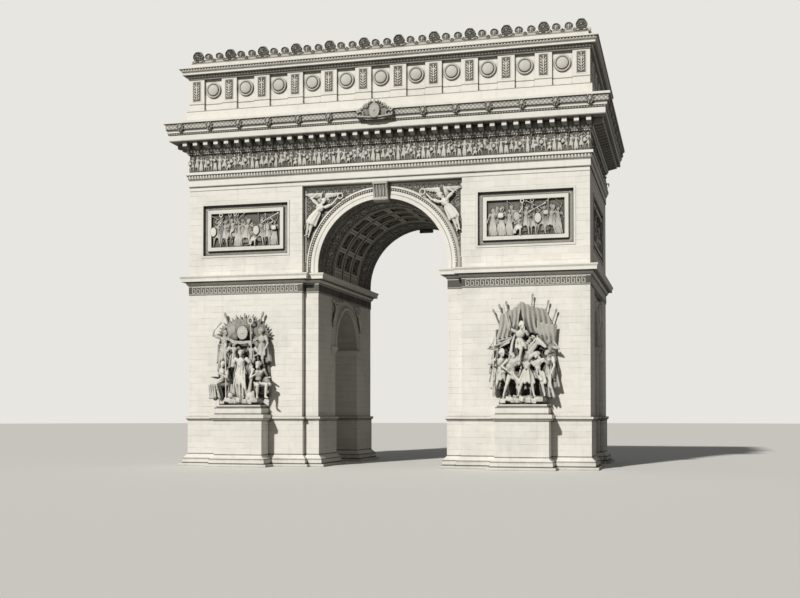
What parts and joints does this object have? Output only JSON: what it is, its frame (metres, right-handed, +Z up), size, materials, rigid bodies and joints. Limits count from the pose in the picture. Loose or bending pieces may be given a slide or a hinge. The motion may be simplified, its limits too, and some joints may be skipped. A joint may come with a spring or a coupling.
{
  "type": "triumphal arch, scale model at 1:10",
  "caption": "Triumphal arch with one large coffered vault, side passages through its ends, sculpture groups on pedestals, relief panels, a deep modillion cornice and an attic with cresting.",
  "frame": {"origin": "on the ground, at the middle of the plan", "axes": "+X to the right along the front, +Y through the main passage to the rear, +Z up"},
  "size_m": [4.928, 2.83, 4.685],
  "materials": {
    "limestone": "dressed pale limestone in fine courses",
    "carved_stone": "carved pale limestone",
    "terrace_paving": "weathered stone paving"
  },
  "bodies": {
    "root": {"architrave": "limestone", "archivolt_front": "limestone", "archivolt_rear": "limestone", "attic_base": "limestone", "attic_cornice": "limestone", "attic_wall_front": "limestone", "attic_wall_left": "limestone", "attic_wall_rear": "limestone", "attic_wall_right": "limestone", "cornice": "limestone", "cornice_bed": "limestone", "cornice_crests": "limestone", "frieze": "limestone", "impost_left": "limestone", "impost_right": "limestone", "keystones": "carved_stone", "main_vault": "limestone", "parapet_front": "limestone", "parapet_left": "limestone", "parapet_rear": "limestone", "parapet_right": "limestone", "pedestal_front_left": "limestone", "pedestal_front_right": "limestone", "pedestal_rear_left": "limestone", "pedestal_rear_right": "limestone", "pier_front_left": "limestone", "pier_front_right": "limestone", "pier_rear_left": "limestone", "pier_rear_right": "limestone", "plinth_front_left": "limestone", "plinth_front_right": "limestone", "plinth_rear_left": "limestone", "plinth_rear_right": "limestone", "relief_panel_left": "carved_stone", "relief_panel_right": "carved_stone", "relief_panels_front": "carved_stone", "relief_panels_rear": "carved_stone", "sculpture_front_left": "carved_stone", "sculpture_front_right": "carved_stone", "sculpture_rear_left": "carved_stone", "sculpture_rear_right": "carved_stone", "side_archivolts": "limestone", "side_vault_left": "limestone", "side_vault_right": "limestone", "terrace": "terrace_paving", "upper_wall": "limestone"}
  },
  "joints": []
}
